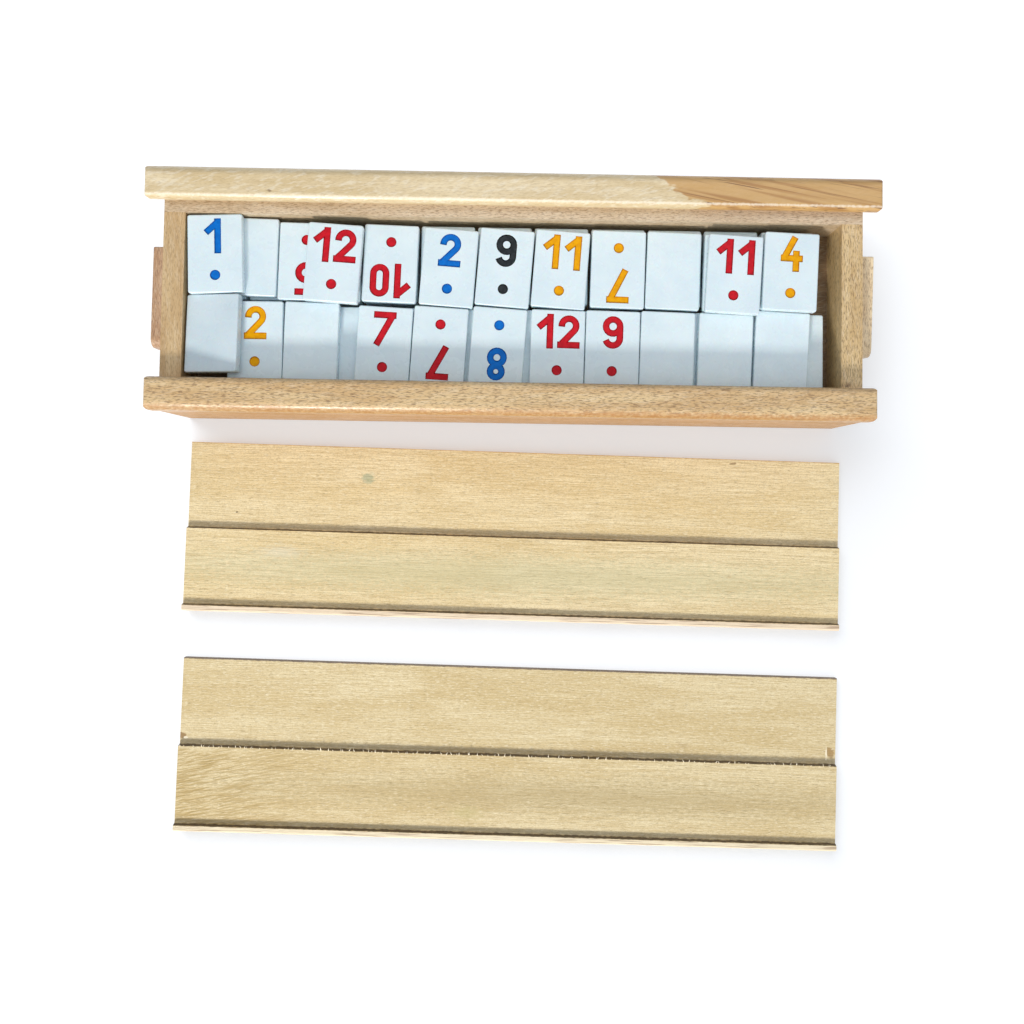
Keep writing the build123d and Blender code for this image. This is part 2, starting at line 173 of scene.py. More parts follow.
def marked(tree, base, coords, ragged, edge, ease, marks):
    """Lays ragged marks over the wood, each by its place, half sizes, colour, strength and softness."""
    for place, size, colour, strength, soft in marks:
        centred = add(tree, "ShaderNodeMapping", {
            "Vector": coords, "Location": [v * MM for v in place], "Scale": [v * MM for v in size]}, "Vector",
            vector_type="TEXTURE")
        far = add(tree, "ShaderNodeVectorMath", {0: centred}, "Value", operation="LENGTH")
        reach = add(tree, "ShaderNodeMath", {0: far, 1: ragged}, 0, operation="ADD")
        mask = add(tree, "ShaderNodeMapRange", {
            "Value": reach, "From Min": edge, "From Max": edge - soft, "To Max": strength}, "Result",
            interpolation_type=ease)
        base = add(tree, "ShaderNodeMix", {BY: mask, UNDER: base, OVER: srgb(colour)}, MIXED,
                   data_type="RGBA")
    return base


# the heart starts where X + HEART_LEAN * Y, in metres, passes HEART_LINE, and is full HEART_FADE further on
HEART_LINE, HEART_LEAN, HEART_FADE, HEART_DEPTH = 0.352, 1.75, 0.004, 0.85


def heartwood(tree, base, where):
    """The back rail's right third: golden heart that starts on a slant, with brown lines that run down it."""
    split = add(tree, "ShaderNodeSeparateXYZ", {"Vector": where})
    wander = streaks(tree, where, 9, 5, 0.3, 0.7, 0.009)
    slanted = add(tree, "ShaderNodeMath", {0: split.outputs["Y"], 1: HEART_LEAN, 2: split.outputs["X"]}, 0,
                  operation="MULTIPLY_ADD")
    edge = add(tree, "ShaderNodeMath", {0: slanted, 1: wander}, 0, operation="ADD")
    inside = add(tree, "ShaderNodeMapRange", {
        "Value": edge, "From Min": HEART_LINE, "From Max": HEART_LINE + HEART_FADE,
        "To Max": HEART_DEPTH}, "Result", interpolation_type="SMOOTHSTEP")
    base = add(tree, "ShaderNodeMix", {BY: inside, UNDER: base, OVER: srgb("CC9D57")}, MIXED,
               data_type="RGBA")
    broad = streaks(tree, where, 90, 3.2, 0.54, 0.38, 0.75, slant=-11, twist=0.3)
    narrow = streaks(tree, where, 60, 0.9, 0.4, 0.33, 0.9, slant=-10, place=(0.05, 0, 0), twist=0.3)
    for lines, colour in ((broad, "A06A2C"), (narrow, "6F431C")):
        mask = add(tree, "ShaderNodeMath", {0: lines, 1: inside}, 0, operation="MULTIPLY")
        base = add(tree, "ShaderNodeMix", {BY: mask, UNDER: base, OVER: srgb(colour)}, MIXED,
                   data_type="RGBA")
    return base


# where a rack's slanted grain, its lower tread and its lip start and are full, in mm from the rack's middle
SLANT_FROM, SLANT_FULL = -85.0, -150.0
TREAD_FROM, TREAD_FULL = -0.5, -3.0
LIP_FROM, LIP_FULL, LIP_DEPTH = -39.8, -40.0, 0.75


def slanted_grain(tree, base, height, board, split):
    """The left part of a rack's lower tread, where the grain runs out at a slant; gives colour and relief."""
    fade = add(tree, "ShaderNodeMapRange", {
        "Value": split.outputs["X"], "From Min": SLANT_FROM * MM, "From Max": SLANT_FULL * MM}, "Result")
    tread = add(tree, "ShaderNodeMapRange", {
        "Value": split.outputs["Y"], "From Min": TREAD_FROM * MM, "From Max": TREAD_FULL * MM}, "Result")
    reach = add(tree, "ShaderNodeMath", {0: fade, 1: tread}, 0, operation="MULTIPLY")
    for slant, place in ((15, 0.0), (9, 0.07)):
        run = streaks(tree, board, 13, 0.95, 0.52, 0.38, 0.75, slant=slant, place=(place, 0, 0), twist=0.6)
        mask = add(tree, "ShaderNodeMath", {0: run, 1: reach}, 0, operation="MULTIPLY")
        base = add(tree, "ShaderNodeMix", {BY: mask, UNDER: base, OVER: srgb("B79C62")}, MIXED,
                   data_type="RGBA")
        height = add(tree, "ShaderNodeMath", {0: mask, 1: height}, 0, operation="ADD")
    return base, height


def lip_wood(tree, base, board, split, colour):
    """A rack's lip: its own tone, with brown veins along it."""
    on_lip = add(tree, "ShaderNodeMapRange", {
        "Value": split.outputs["Y"], "From Min": LIP_FROM * MM, "From Max": LIP_FULL * MM,
        "To Max": LIP_DEPTH}, "Result")
    base = add(tree, "ShaderNodeMix", {BY: on_lip, UNDER: base, OVER: srgb(colour)}, MIXED,
               data_type="RGBA")
    veins = streaks(tree, board, 22, 0.5, 0.47, 0.36, 0.8, place=(0.2, 0, 0), twist=0.3)
    mask = add(tree, "ShaderNodeMath", {0: veins, 1: on_lip}, 0, operation="MULTIPLY")
    return add(tree, "ShaderNodeMix", {BY: mask, UNDER: base, OVER: srgb("8F6A50")}, MIXED,
               data_type="RGBA")


def pale_board(name, node, turn, pale, deep, lip, marks, slanted):
    """Machined bare pale hardwood: fine long lines, saw ripple and dry pores, dull, with its marks and
    painted shade.

    The lines, grit and pores are drawn wider than they are, 0.3 to 0.5 mm, so that they show.
    """
    mat, tree = new_material(name)
    low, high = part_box(node)
    middle = (low + high) / 2
    where = add(tree, "ShaderNodeTexCoord", out="Object")
    board = add(tree, "ShaderNodeMapping", {
        "Vector": where, "Location": (middle.x, middle.y, 0), "Rotation": (0, 0, math.radians(turn))},
        "Vector", vector_type="TEXTURE")
    split = add(tree, "ShaderNodeSeparateXYZ", {"Vector": board})
    drift = streaks(tree, board, 80, 12, 0.34, 0.66, twist=0.5)
    lines = streaks(tree, board, 18, 0.48, 0.6, 0.36, 0.5)
    ripple = streaks(tree, board, 60, 2.2, 0.58, 0.4, 0.12)
    grit = streaks(tree, board, 0.8, 0.5, 0.56, 0.36, 0.34)
    light = streaks(tree, board, 2.4, 0.5, 0.52, 0.7, 0.42, place=(0.01, 0, 0))
    pore_marks = streaks(tree, board, 3.4, 0.34, 0.41, 0.33, 0.42, place=(0.03, 0.01, 0))
    base = add(tree, "ShaderNodeMix", {BY: drift, UNDER: srgb(deep), OVER: srgb(pale)}, MIXED,
               data_type="RGBA")
    for mask, colour in ((lines, "C8AE78"), (ripple, "C4AA74"), (grit, "BFA671"), (light, "FFF6DA"),
                         (pore_marks, "8A7040")):
        base = add(tree, "ShaderNodeMix", {BY: mask, UNDER: base, OVER: srgb(colour)}, MIXED,
                   data_type="RGBA")
    height = add(tree, "ShaderNodeMath", {0: lines, 1: pore_marks}, 0, operation="ADD")
    if slanted:
        base, height = slanted_grain(tree, base, height, board, split)
    base = lip_wood(tree, base, board, split, lip)
    ragged = streaks(tree, board, 2.6, 1.2, 0.2, 0.8, 0.6)
    base = marked(tree, base, board, ragged, RACK_MARK_EDGE, "SMOOTHSTEP",
                  [((x, y, 0), (half_x, half_y, 100), colour, strength, soft)
                   for x, y, half_x, half_y, colour, strength, soft in marks])
    bump = add(tree, "ShaderNodeBump", {"Height": height, "Strength": 0.6, "Distance": 0.14 * MM}, "Normal",
               invert=True)
    rough = add(tree, "ShaderNodeMapRange", {"Value": drift, "To Min": 0.52, "To Max": 0.66}, "Result")
    wood = add(tree, "ShaderNodeBsdfPrincipled", {
        "Base Color": base, "Roughness": rough, "Normal": bump, "IOR": 1.46}, "BSDF")
    add(tree, "ShaderNodeOutputMaterial", {"Surface": wood})
    return mat


# ---------------------------------------------------------------- plastic, enamel, metal

def tile_plastic(name, pale, cool):
    """Injection-moulded polystyrene: cool white and glossy, faintly uneven where it sank as it cooled."""
    mat, tree = new_material(name)
    where = add(tree, "ShaderNodeTexCoord", out="Object")
    sink = streaks(tree, where, 16, 16, 0.3, 0.7)
    haze = streaks(tree, where, 6, 6, 0.3, 0.7)
    base = add(tree, "ShaderNodeMix", {BY: sink, UNDER: srgb(cool), OVER: srgb(pale)}, MIXED,
               data_type="RGBA")
    rough = add(tree, "ShaderNodeMapRange", {"Value": haze, "To Min": 0.2, "To Max": 0.36}, "Result")
    bump = add(tree, "ShaderNodeBump", {"Height": sink, "Strength": 0.3, "Distance": 0.25 * MM}, "Normal")
    plastic = add(tree, "ShaderNodeBsdfPrincipled", {
        "Base Color": base, "Roughness": rough, "Normal": bump, "IOR": 1.59,
        "Subsurface Weight": 0.08, "Subsurface Scale": 1.0 * MM}, "BSDF")
    add(tree, "ShaderNodeOutputMaterial", {"Surface": plastic})
    return mat


def enamel(name, colour, deep):
    """Enamel run into the moulded numerals: saturated, glossy, a little deeper where it pooled."""
    mat, tree = new_material(name)
    where = add(tree, "ShaderNodeTexCoord", out="Object")
    pool = streaks(tree, where, 2.2, 2.2, 0.35, 0.65)
    base = add(tree, "ShaderNodeMix", {BY: pool, UNDER: srgb(deep), OVER: srgb(colour)}, MIXED,
               data_type="RGBA")
    bump = add(tree, "ShaderNodeBump", {"Height": pool, "Strength": 0.5, "Distance": 0.2 * MM}, "Normal")
    paint = add(tree, "ShaderNodeBsdfPrincipled", {
        "Base Color": base, "Normal": bump, "Roughness": 0.3, "IOR": 1.5, "Specular IOR Level": 0.12}, "BSDF")
    add(tree, "ShaderNodeOutputMaterial", {"Surface": paint})
    return mat


def metal(name, colour, smooth, dull):
    """Turned or stamped metal: a warm or grey shine, its highlights broken by tool marks 0.3 mm wide."""
    mat, tree = new_material(name)
    where = add(tree, "ShaderNodeTexCoord", out="Object")
    marks = streaks(tree, where, 3.0, 0.3, 0.3, 0.7)
    rough = add(tree, "ShaderNodeMapRange", {"Value": marks, "To Min": smooth, "To Max": dull}, "Result")
    bare = add(tree, "ShaderNodeBsdfPrincipled", {
        "Base Color": srgb(colour), "Metallic": 1.0, "Roughness": rough}, "BSDF")
    add(tree, "ShaderNodeOutputMaterial", {"Surface": bare})
    return mat


# how far each rack lies turned on the table, in degrees
RACK_TURNS = {"rack_1": -0.96, "rack_2": -1.04}
# marks on the racks: x, y from the rack's middle and half sizes in mm, colour, strength, softness of the
# edge; on both racks, a painted shadow band lies behind each of the two steps and painted shade darkens the
# step faces
STEP_SHADE_MARKS = [(0, 1.0, 600, 2.4, "8A7660", 0.34, 1.0), (0, -37.9, 600, 2.0, "8A7660", 0.34, 1.0),
                (0, -0.8, 700, 0.46, "46362A", 0.86, 0.6), (0, -39.5, 700, 0.44, "46362A", 0.86, 0.6)]
# the long mark at y 42.7 in each list is painted shade along the rack's back edge; the rest are stains,
# chips, wear and tone
RACK_1_MARKS_AND_EDGE_SHADE = [(-75.7, 27.1, 4.6, 3.6, "8FA488", 0.55, 0.7), (-141.8, 7.5, 0.9, 0.5, "5A4428", 0.9, 0.4),
                (111.4, 40.6, 2.2, 0.8, "8A6A42", 0.7, 0.5), (0, 42.7, 700, 0.5, "B07A40", 0.5, 0.5),
                (-118, -12, 16, 5, "EDE4CC", 0.5, 0.9), (0, -20, 300, 16, "C9C69E", 0.5, 0.9)]
RACK_2_MARKS_AND_EDGE_SHADE = [(-165.4, 3.8, 2.6, 1.6, "8C6636", 0.75, 0.3), (-163.4, 2.6, 1.2, 0.7, "FFF3D6", 0.9, 0.3),
                (163.4, 5.0, 2.4, 3.2, "9C763E", 0.7, 0.4), (161.6, 4.4, 0.6, 3.4, "FFF3D6", 0.9, 0.4),
                (88.6, 6.7, 4.5, 1.4, "A3885A", 0.4, 0.8), (0, 42.7, 700, 0.62, "5E4E48", 0.85, 0.5),
                (40, -20, 260, 15, "A89466", 0.46, 0.9), (-20, -30, 12, 5, "BDB070", 0.4, 0.9)]

# lacquer gives the rails and boards a soft shine; the front board and the tray's floor are bare and duller
MATERIALS = {
    "front_rail": beech("lacquered_beech_front_rail", "E4C795", "D0AC78", "6E4B2A", place=(0.3, 0, 0),
                        mottle=0.1, lacquer=0.35),
    "back_rail": beech("lacquered_beech_back_rail", "F2E0BA", "DBC394", "A88A5E", place=(0.9, 0.1, 0),
                       pores=0.25, mottle=0.4, lacquer=0.4, heart=True),
    "front_side_board": beech("beech_front_board", "C79A64", "B68850", "7C5632", place=(0.1, 0.2, 0),
                              pores=0.35, lacquer=0.0, shine=0.1),
    "back_side_board": beech("lacquered_beech_back_board", "E3CFB2", "CFB795", "8C6A46",
                             place=(0.5, 0.3, 0)),
    "left_end_board": beech("lacquered_beech_left_end", "D6B98A", "C2A070", "8A6A42", "Y", (0.2, 0.4, 0),
                            pores=0.45, mottle=0.1),
    "right_end_board": beech("lacquered_beech_right_end", "E3C793", "CFAE78", "7F5E38", "Y", (0.7, 0.1, 0),
                             pores=0.7, mottle=0.1),
    # the tray's floor is painted much darker than the boards: painted shade deep in the tray
    "floor_panel": beech("bare_beech_floor_painted_shade", "8E7250", "7A6042", "5A4228", place=(0.4, 0, 0.2), pores=0.3,
                         mottle=0.1, lacquer=0.0),
    "left_turn_button": beech("sanded_red_beech_left", "CDA986", "BA9370", "86604A", "Y", (0.1, 0, 0),
                              mottle=0.1),
    # the right button's wood is painted paler than the left's: painted light where the case's shadow falls on
    # it
    "right_turn_button": beech("sanded_red_beech_right_painted_light", "FAE6C0", "EED2A8", "9A7850", "Y", (0.4, 0, 0),
                               mottle=0.1),
    "button_screws": metal("turned_brass_screws", "C9A964", 0.24, 0.42),
    "button_washers": metal("stamped_steel_washers", "9B9B9C", 0.3, 0.48),
    "rack_1": pale_board("machined_pale_wood_rack_1", "rack_1", RACK_TURNS["rack_1"], "FAE8BC", "EED7A4",
                         "F3E0C8", STEP_SHADE_MARKS + RACK_1_MARKS_AND_EDGE_SHADE, False),
    "rack_2": pale_board("machined_pale_wood_rack_2", "rack_2", RACK_TURNS["rack_2"], "EBDBB2", "D9C494",
                         "F3E6CA", STEP_SHADE_MARKS + RACK_2_MARKS_AND_EDGE_SHADE, True),
}
for node, material in MATERIALS.items():
    frame["nodes"][node].data.materials.clear()
    frame["nodes"][node].data.materials.append(material)

WHITE_TILE = tile_plastic("moulded_polystyrene_tile", "E2F2F8", "DAECF4")
# the leaning tile's plastic is painted a little greyer: painted shade for its tilt away from the light
SHADED_TILE = tile_plastic("polystyrene_tile_painted_shade", "D3E3EA", "CADCE5")
# the enamel on the floor of a stroke, and a darker copy on its sloped sides as painted shade in the cut
ENAMEL = {
    "blue": (enamel("enamel_blue", "0676D6", "056CC8"), enamel("enamel_blue_rim_painted_shade", "0658A6", "054E96")),
    "red": (enamel("enamel_red", "D61C2B", "C41726"), enamel("enamel_red_rim_painted_shade", "A81420", "98101C")),
    "yellow": (enamel("enamel_yellow", "F6B000", "EAA200"), enamel("enamel_yellow_rim_painted_shade", "C88400", "B87600")),
    "black": (enamel("enamel_black", "303538", "22272A"), enamel("enamel_black_rim_painted_shade", "131517", "0E1011")),
}

# ---------------------------------------------------------------- tiles

TILE_W, TILE_L, TILE_T = 26.0, 37.5, 4.6
# rounding of a tile's corners in plan, and of its face and back along their edges
TILE_CORNER, TILE_EDGE = 1.0, 0.6
# numerals, in mm: height, width of a wide one, distance from one to the next, width of a stroke
GLYPH_H, GLYPH_W, GLYPH_PITCH, STROKE = 16.0, 10.2, 10.4, 3.4
# from the tile's upper edge down to a numeral, from its lower edge up to the dot's middle, the dot's radius
NUMERAL_DOWN, DOT_UP, DOT_RADIUS = 2.4, 8.4, 2.55
# a cut's depth, how far its cutter stands above the face, and how much wider than the stroke the cut is at
# the cutter's top and narrower at its floor, on each side
CUT_DEPTH, CUT_ABOVE, CUT_OVER, CUT_UNDER = 0.5, 0.2, 0.08, 0.5
# a face of a cut lies at least CUT_MARGIN inside the tile's outline, and from FACE_SKIN to CUT_REACH deep
CUT_MARGIN, CUT_REACH, FACE_SKIN = 1.2, 1.0, 0.01
SAME_POINT = 0.01


def arc(cx, cy, r, start, end, steps=18):
    """Points on a circle from one angle to another, in degrees."""
    return [(cx + r * math.cos(math.radians(start + (end - start) * i / steps)),
             cy + r * math.sin(math.radians(start + (end - start) * i / steps)))
            for i in range(steps + 1)]


# each numeral is its strokes' middle lines, in mm from its lower left corner; True closes a stroke
GLYPHS = {
    "0": [(arc(4.7, 11.3, 3.05, 0, 180) + arc(4.7, 4.7, 3.05, 180, 360), True)],
    "1": [([(6.5, 0), (6.5, 16)], False), ([(6.9, 15.0), (1.2, 9.9)], False)],
    "2": [(arc(5.1, 10.9, 3.45, 182, -40) + [(2.0, 2.4)], False), ([(0.1, 1.6), (10.1, 1.6)], False)],
    "3": [(arc(5.0, 11.5, 2.85, 155, -90), False), (arc(4.8, 5.0, 3.35, 90, -155), False)],
    "4": [([(6.3, 16), (1.7, 6.6)], False), ([(0.2, 6.0), (10.0, 6.0)], False),
          ([(7.2, 9.4), (7.2, 0)], False)],
    "5": [([(0.9, 14.4), (9.6, 14.4)], False), ([(2.4, 15), (2.1, 7.4)], False),
          (arc(4.9, 5.1, 3.5, 135, -155), False)],
    "7": [([(0, 14.4), (10.0, 14.4)], False), ([(8.7, 14.6), (1.7, 0.1)], False)],
    "8": [(arc(5.0, 11.6, 2.75, 0, 360), True), (arc(5.0, 4.85, 3.2, 0, 360), True)],
    "9": [(arc(5.1, 10.85, 3.4, 0, 360), True), ([(8.5, 10.8), (8.5, 5.2)], False),
          (arc(5.1, 5.1, 3.4, 2, -158), False)],
}
NARROW_GLYPHS = {"1": 8.2}


def ribbon(bm, points, closed, half_top, half_bottom, z_top, z_bottom):
    """A stroke as a solid: its middle line widened, narrower at the bottom, its ends leaning outwards."""
    if closed:
        points = points[:-1] if math.dist(points[0], points[-1]) < SAME_POINT else points
    count = len(points)
    rings = []
    for i, (x, y) in enumerate(points):
        before = points[i - 1] if closed or i else points[i]
        after = points[(i + 1) % count] if closed or i < count - 1 else points[i]
        along = Vector((after[0] - before[0], after[1] - before[1])).normalized()
        side = Vector((-along.y, along.x))
        lean = 0.0 if closed or 0 < i < count - 1 else (half_top - half_bottom)
        out = -along if i == 0 else along
        ring = []
        for half, z, grow in ((half_top, z_top, lean), (half_bottom, z_bottom, 0.0)):
            middle = Vector((x, y)) + out * grow
            for sign in ((1, -1) if z == z_top else (-1, 1)):
                p = middle + side * half * sign
                ring.append(bm.verts.new((p.x, p.y, z)))
        rings.append(ring)
    pairs = list(zip(rings, rings[1:])) + ([(rings[-1], rings[0])] if closed else [])
    for a, b in pairs:
        for k in range(4):
            bm.faces.new((a[k], a[(k + 1) % 4], b[(k + 1) % 4], b[k]))
    if not closed:
        bm.faces.new(rings[0])
        bm.faces.new(list(reversed(rings[-1])))


def disc(bm, cx, cy, r_top, r_bottom, z_top, z_bottom, steps=32):
    """A shallow round cutter, narrower at the bottom."""
    rings = [[bm.verts.new((x, y, z)) for x, y in arc(cx, cy, r, 0, 360, steps)[:-1]]
             for r, z in ((r_top, z_top), (r_bottom, z_bottom))]
    for i in range(steps):
        j = (i + 1) % steps
        bm.faces.new((rings[0][i], rings[0][j], rings[1][j], rings[1][i]))
    bm.faces.new(list(reversed(rings[0])))
    bm.faces.new(rings[1])


def finished(bm, name):
    """A bmesh in mm made into an object in metres, faces outwards."""
    bmesh.ops.recalc_face_normals(bm, faces=bm.faces)
    mesh = bpy.data.meshes.new(name)
    bm.to_mesh(mesh)
    bm.free()
    mesh.transform(Matrix.Scale(MM, 4))
    obj = bpy.data.objects.new(name, mesh)
    bpy.context.scene.collection.objects.link(obj)
    return obj


def blank_tile(name):
    """A moulded tile lying on z = 0: rounded corners, softly rounded face edges."""
    bm = bmesh.new()
    bmesh.ops.create_cube(bm, size=1.0)
    bmesh.ops.scale(bm, vec=(TILE_W, TILE_L, TILE_T), verts=bm.verts)
    bmesh.ops.translate(bm, vec=(0, 0, TILE_T / 2), verts=bm.verts)
    upright = [e for e in bm.edges if abs(e.verts[0].co.z - e.verts[1].co.z) > TILE_T / 2]
    bmesh.ops.bevel(bm, geom=upright, offset=TILE_CORNER, segments=4, profile=0.5, affect="EDGES")
    around = [e for e in bm.edges if len({abs(f.normal.z) > 0.5 for f in e.link_faces}) == 2]
    bmesh.ops.bevel(bm, geom=around, offset=TILE_EDGE, segments=3, profile=0.5, affect="EDGES")
    obj = finished(bm, name)
    for face in obj.data.polygons:
        face.use_smooth = abs(face.normal.z) < 0.99
    return obj


def numeral_cutter(text):
    """The strokes of a number and the dot under it, as one cutter in the tile's own place."""
    bm = bmesh.new()
    last = NARROW_GLYPHS.get(text[-1], GLYPH_W) if len(text) > 1 else GLYPH_W
    total = GLYPH_PITCH * (len(text) - 1) + last
    z_top, z_bottom = TILE_T + CUT_ABOVE, TILE_T - CUT_DEPTH
    for k, glyph in enumerate(text):
        x0, y0 = -total / 2 + k * GLYPH_PITCH, TILE_L / 2 - NUMERAL_DOWN - GLYPH_H
        for points, closed in GLYPHS[glyph]:
            ribbon(bm, [(x0 + x, y0 + y) for x, y in points], closed,
                   STROKE / 2 + CUT_OVER, STROKE / 2 - CUT_UNDER, z_top, z_bottom)
    disc(bm, 0, DOT_UP - TILE_L / 2, DOT_RADIUS + CUT_OVER, DOT_RADIUS - CUT_UNDER, z_top, z_bottom)
    return finished(bm, "numeral_cutter")


def numbered_tile(name, text, colour):
    """A tile with its number and dot cut into the face and painted, the sloped sides in a darker enamel as
    painted shade.
    """
    obj = blank_tile(name)
    obj.data.materials.append(WHITE_TILE)
    cutter = numeral_cutter(text)
    cut = obj.modifiers.new("numeral", "BOOLEAN")
    cut.object, cut.operation, cut.solver, cut.use_self = cutter, "DIFFERENCE", "EXACT", True
    mesh = bpy.data.meshes.new_from_object(obj.evaluated_get(bpy.context.evaluated_depsgraph_get()))
    obj.modifiers.clear()
    obj.data = mesh
    bpy.data.objects.remove(cutter)
    for paint in ENAMEL[colour]:
        mesh.materials.append(paint)
    inside_x, inside_y = (TILE_W / 2 - CUT_MARGIN) * MM, (TILE_L / 2 - CUT_MARGIN) * MM
    lowest, highest = (TILE_T - CUT_REACH) * MM, (TILE_T - FACE_SKIN) * MM
    for face in mesh.polygons:
        c = face.center
        if abs(c.x) < inside_x and abs(c.y) < inside_y and lowest < c.z < highest:
            # index 2, the sloped sides, takes the darker enamel: painted shade
            face.material_index = 1 if face.normal.z > 0.9 else 2
            face.use_smooth = False
    return obj


def lay(obj, node, turn, side_tilt=0.0, front_rise=0.0):
    """Puts a tile's mesh where its CAD node lies, turned as asked, and lets it stand for the node."""
    low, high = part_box(node)
    middle = (low + high) / 2
    raised = Matrix.Rotation(math.radians(-front_rise), 4, "X")
    tilted = Matrix.Rotation(math.radians(-side_tilt), 4, "Y")
    turned = Matrix.Rotation(math.radians(turn), 4, "Z")
    centred = Matrix.Translation((0, 0, -TILE_T / 2 * MM))
    place = Matrix.Translation(middle) @ raised @ tilted @ turned @ centred
    obj.data.transform(place)
    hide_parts(node)
    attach(obj, "set")


# number, colour and turn in degrees of each tile on top; those turned by about 180 lie upside down
TILES = {
    "tile_blue_1": ("1", "blue", 2.2),
    "tile_blank_back_left": ("", None, -1.2),
    "tile_red_5": ("5", "red", 179.1),
    "tile_red_12_back": ("12", "red", -3.5),
    "tile_red_10": ("10", "red", 178.4),
    "tile_blue_2": ("2", "blue", -3.8),
    "tile_black_9": ("9", "black", -4.1),
    "tile_yellow_11": ("11", "yellow", -3.8),
    "tile_yellow_7": ("7", "yellow", 178.8),
    "tile_blank_back_right": ("", None, -1.6),
    "tile_under_red_11": ("", None, -1.5),
    "tile_red_11": ("11", "red", -3.0),
    "tile_under_yellow_4": ("", None, -1.5),
    "tile_yellow_4": ("4", "yellow", -2.2),
    "tile_yellow_2": ("2", "yellow", 0.2),
    "tile_blank_front_left": ("", None, -1.0),
    "tile_red_7": ("7", "red", -2.7),
    "tile_red_7_turned": ("7", "red", 176.8),
    "tile_blue_8": ("8", "blue", 176.3),
    "tile_red_12_front": ("12", "red", -1.1),
    "tile_red_9": ("9", "red", -1.1),
    "tile_blank_front_a": ("", None, -1.5),
    "tile_blank_front_b": ("", None, -1.8),
    "tile_blank_front_c": ("", None, -2.5),
    "tile_yellow_under": ("13", "yellow", 180.0),
}

for node, (text, colour, turn) in TILES.items():
    if text:
        piece = numbered_tile(node + "_moulded", text, colour)
    else:
        piece = blank_tile(node + "_moulded")
        piece.data.materials.append(WHITE_TILE)
    lay(piece, node, turn)

leaning = blank_tile("tile_blank_leaning_moulded")
leaning.data.materials.append(SHADED_TILE)
lay(leaning, "tile_blank_leaning", 0.0, side_tilt=9.0, front_rise=3.0)


# ---------------------------------------------------------------- covered layers of tiles

def node_group(name, sockets):
    """A Geometry Nodes tree with named inputs and one output; gives the tree and its input node."""
    tree = bpy.data.node_groups.new(name, "GeometryNodeTree")
    for socket, kind in sockets.items():
        tree.interface.new_socket(socket, in_out="INPUT", socket_type=kind)
    tree.interface.new_socket("Geometry", in_out="OUTPUT", socket_type="NodeSocketGeometry")
    return tree, add(tree, "NodeGroupInput").outputs


def realised(name, tree, values):
    """What a tree makes from these values, as an object with a plain mesh."""
    holder = bpy.data.objects.new(name, bpy.data.meshes.new(name))
    bpy.context.scene.collection.objects.link(holder)
    work = holder.modifiers.new("made", "NODES")
    work.node_group = tree
    for item in tree.interface.items_tree:
        if item.item_type == "SOCKET" and item.in_out == "INPUT":
            work[item.identifier] = values[item.name]
    mesh = bpy.data.meshes.new_from_object(holder.evaluated_get(bpy.context.evaluated_depsgraph_get()))
    holder.modifiers.clear()
    holder.data = mesh
    return holder


def tile_run_tree(tile):
    """Geometry Nodes: a run of tiles side by side, `Count` of them, `Pitch` apart from `First`."""
    tree, given = node_group("tile_run", {"Count": "NodeSocketInt", "Pitch": "NodeSocketFloat",
                                          "First": "NodeSocketVector", "Plastic": "NodeSocketMaterial"})
    step = add(tree, "ShaderNodeCombineXYZ", {"X": given["Pitch"]}, "Vector")
    line = add(tree, "GeometryNodeMeshLine", {
        "Count": given["Count"], "Start Location": given["First"], "Offset": step}, "Mesh", mode="OFFSET")
    source = add(tree, "GeometryNodeObjectInfo", {"Object": tile}, "Geometry", transform_space="ORIGINAL")
    placed = add(tree, "GeometryNodeInstanceOnPoints", {"Points": line, "Instance": source}, "Instances")
    real = add(tree, "GeometryNodeRealizeInstances", {"Geometry": placed}, "Geometry")
    painted = add(tree, "GeometryNodeSetMaterial", {
        "Geometry": real, "Material": given["Plastic"]}, "Geometry")
    add(tree, "NodeGroupOutput", {"Geometry": painted})
    return tree


# the covered rows, in mm from the tray's left end: where the first tile starts, and from one to the next;
# the top covered layer leaves a place in its back row, counted from 0, to the yellow tile
TRAY_LENGTH, ROW_TILES = 313.0, 11
FRONT_START, FRONT_PITCH = 20.1, 26.1
BACK_START, BACK_PITCH = 1.3, 27.5
TOP_COVERED_LAYER, YELLOW_PLACE = 3, 3
master = blank_tile("tile_master")
run_tree = tile_run_tree(master)


def run_of_tiles(name, start, pitch, first, count, y, z):
    """One run of a covered layer: `count` tiles from place `first` of a row that starts at `start` mm."""
    x = (start + TILE_W / 2 + first * pitch - TRAY_LENGTH / 2) * MM
    return realised(name, run_tree, {
        "Count": count, "Pitch": pitch * MM, "Plastic": WHITE_TILE, "First": (x, y, z)})


def joined(objects, name):
    """Several plain mesh objects made one, all at the origin."""
    bm = bmesh.new()
    for o in objects:
        bm.from_mesh(o.data)
    mesh = bpy.data.meshes.new(name)
    bm.to_mesh(mesh)
    bm.free()
    mesh.materials.append(WHITE_TILE)
    for o in objects:
        bpy.data.objects.remove(o)
    obj = bpy.data.objects.new(name, mesh)
    bpy.context.scene.collection.objects.link(obj)
    return obj


